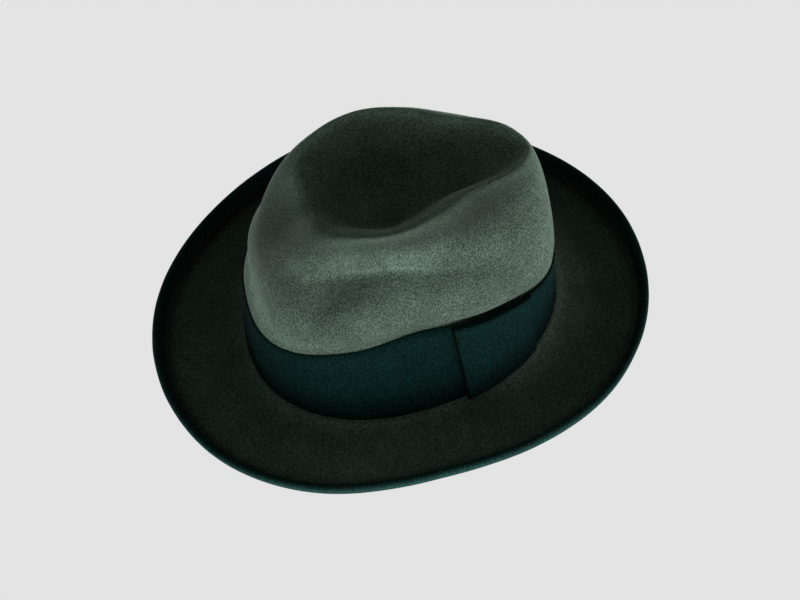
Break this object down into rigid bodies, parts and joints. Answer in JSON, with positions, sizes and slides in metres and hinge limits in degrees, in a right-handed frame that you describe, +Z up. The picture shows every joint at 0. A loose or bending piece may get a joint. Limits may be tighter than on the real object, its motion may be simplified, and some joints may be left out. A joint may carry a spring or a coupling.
{
  "type": "soft felt hat",
  "caption": "Soft felt hat with a dented, pinched crown, a curled bound brim, a wide ribbon band and a flat side bow.",
  "frame": {"origin": "on the surface that the hat rests on, under the middle of the brim's length and width", "axes": "+Z up, -Y the front of the hat, +X the wearer's left, the side with the bow"},
  "size_m": [0.282, 0.32, 0.1388],
  "materials": {
    "felt": "grey-green fur felt, matt with a fine nap",
    "ribbon": "dark teal ribbed ribbon with a low sheen",
    "binding": "dark teal ribbed ribbon, folded over the edge"
  },
  "bodies": {
    "root": {"felt_body": "felt", "ribbon_band": "ribbon", "bow": "ribbon", "brim_binding": "binding"}
  },
  "joints": []
}
